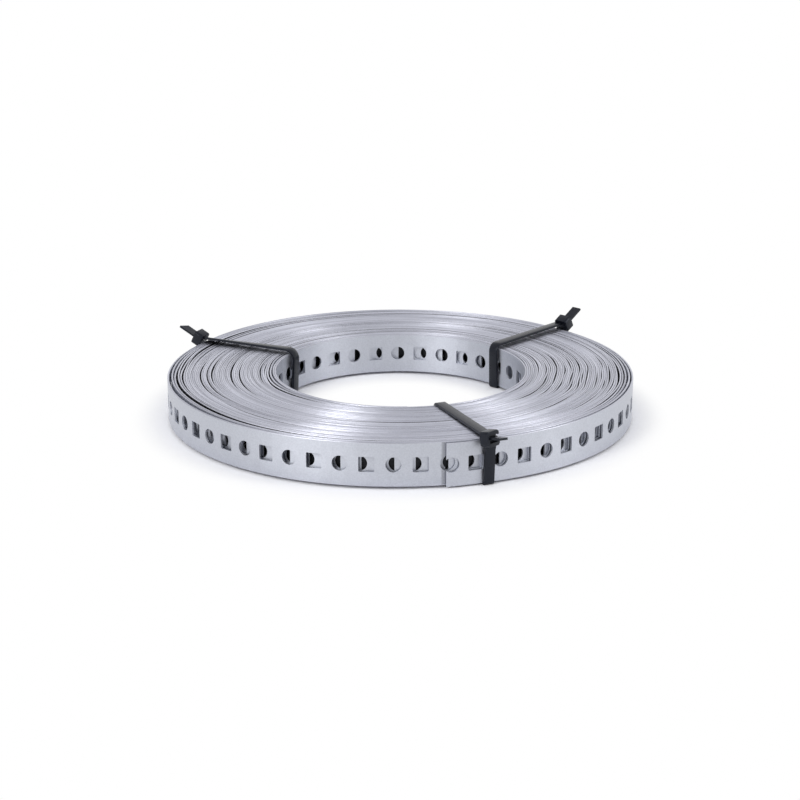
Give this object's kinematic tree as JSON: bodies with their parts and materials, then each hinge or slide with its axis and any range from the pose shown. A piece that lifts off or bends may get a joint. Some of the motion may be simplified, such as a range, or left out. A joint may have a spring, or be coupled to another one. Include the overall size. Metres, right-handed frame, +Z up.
{
  "type": "coil of perforated steel band",
  "caption": "Flat-wound ring of galvanised perforated steel fixing band with alternating round and square holes, bundled by black cable ties.",
  "frame": {"origin": "on the coil's axis, at the floor plane that the ties' undersides rest on", "axes": "+Z up along the coil's axis, -Y towards the front, where the band's outer end lies"},
  "size_m": [0.2169, 0.2193, 0.0285],
  "materials": {
    "galvanised_steel": "bright zinc coat, faint spangle, slit edges",
    "black_nylon": "moulded nylon, slight sheen"
  },
  "bodies": {
    "root": {"band_coil": "galvanised_steel", "cable_tie_front": "black_nylon", "cable_tie_left": "black_nylon", "cable_tie_right": "black_nylon"}
  },
  "joints": []
}
